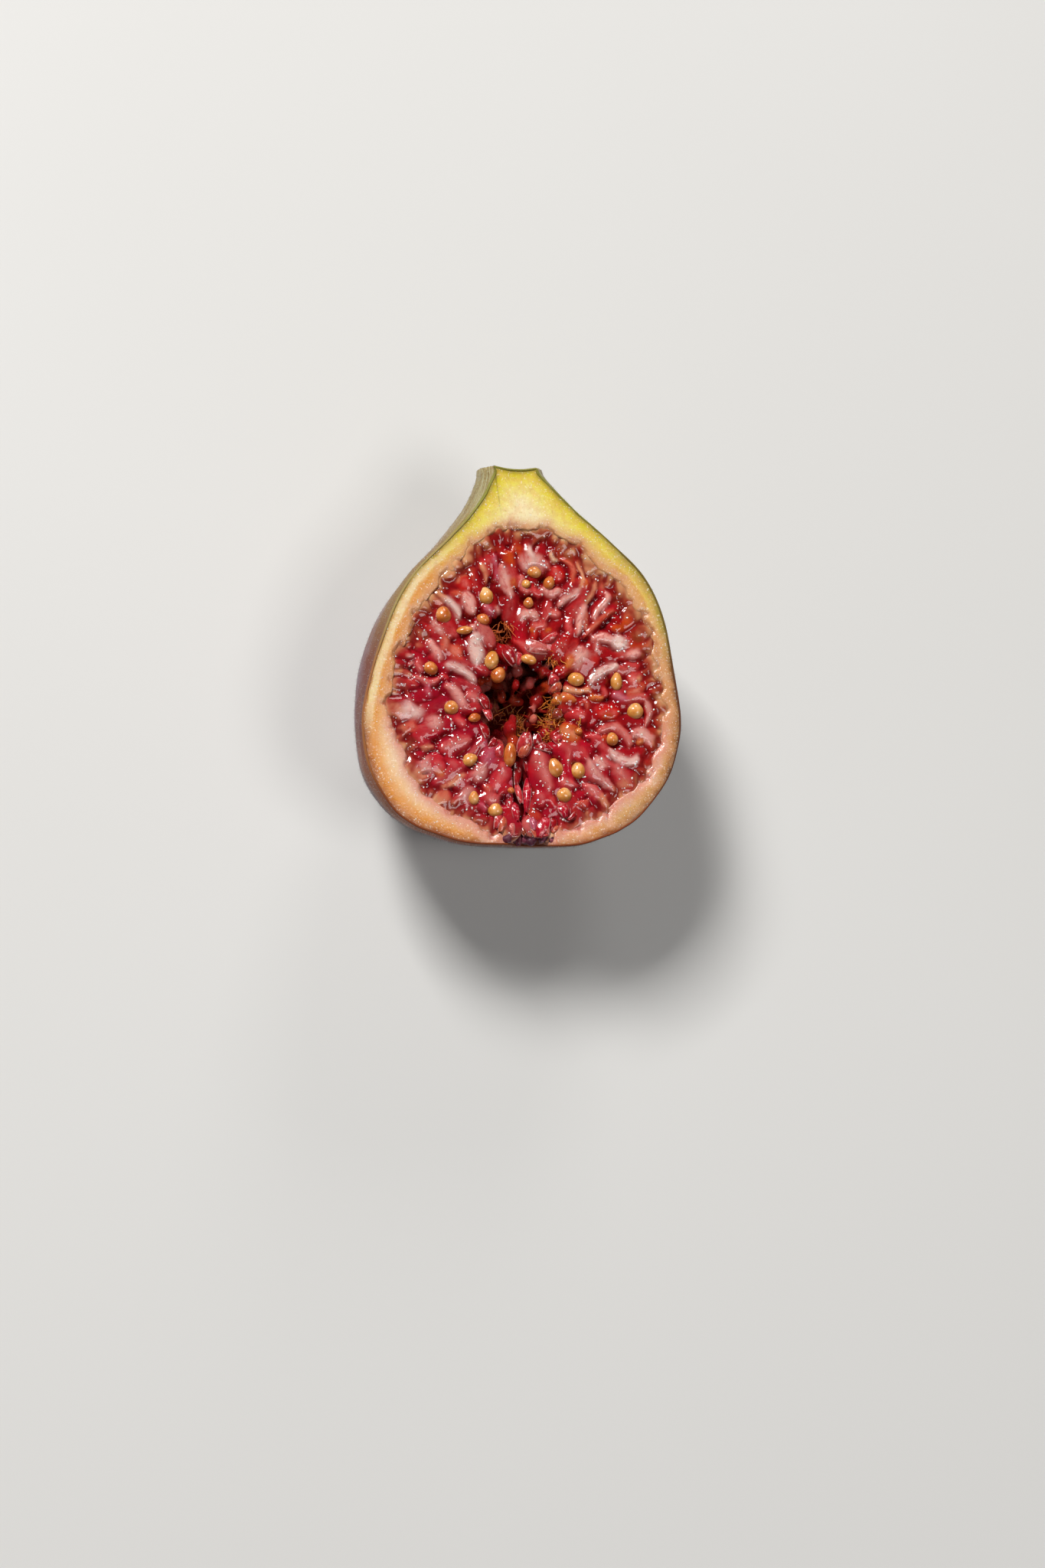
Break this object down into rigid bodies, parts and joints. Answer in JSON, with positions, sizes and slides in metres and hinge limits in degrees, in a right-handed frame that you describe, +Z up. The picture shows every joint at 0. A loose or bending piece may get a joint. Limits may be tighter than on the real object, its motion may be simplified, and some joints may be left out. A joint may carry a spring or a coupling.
{
  "type": "fresh fig half",
  "caption": "Half of a fresh fig cut lengthwise, lying on its skin with pale rind, seeded red pulp and a central hollow facing up.",
  "frame": {"origin": "on the resting surface, under the middle of the piece's bounding box", "axes": "+X across the cut face, +Y along the fruit towards the stem end, +Z up out of the cut face"},
  "size_m": [0.0388, 0.0448, 0.021],
  "materials": {
    "fig_flesh": "moist cut flesh, pale at the rind",
    "fig_skin": "thin dull purple-brown skin with a grey bloom",
    "fig_pulp": "wet crimson pulp",
    "fig_seed": "wet golden seed"
  },
  "bodies": {
    "root": {"fig_half": "fig_flesh"}
  },
  "joints": []
}
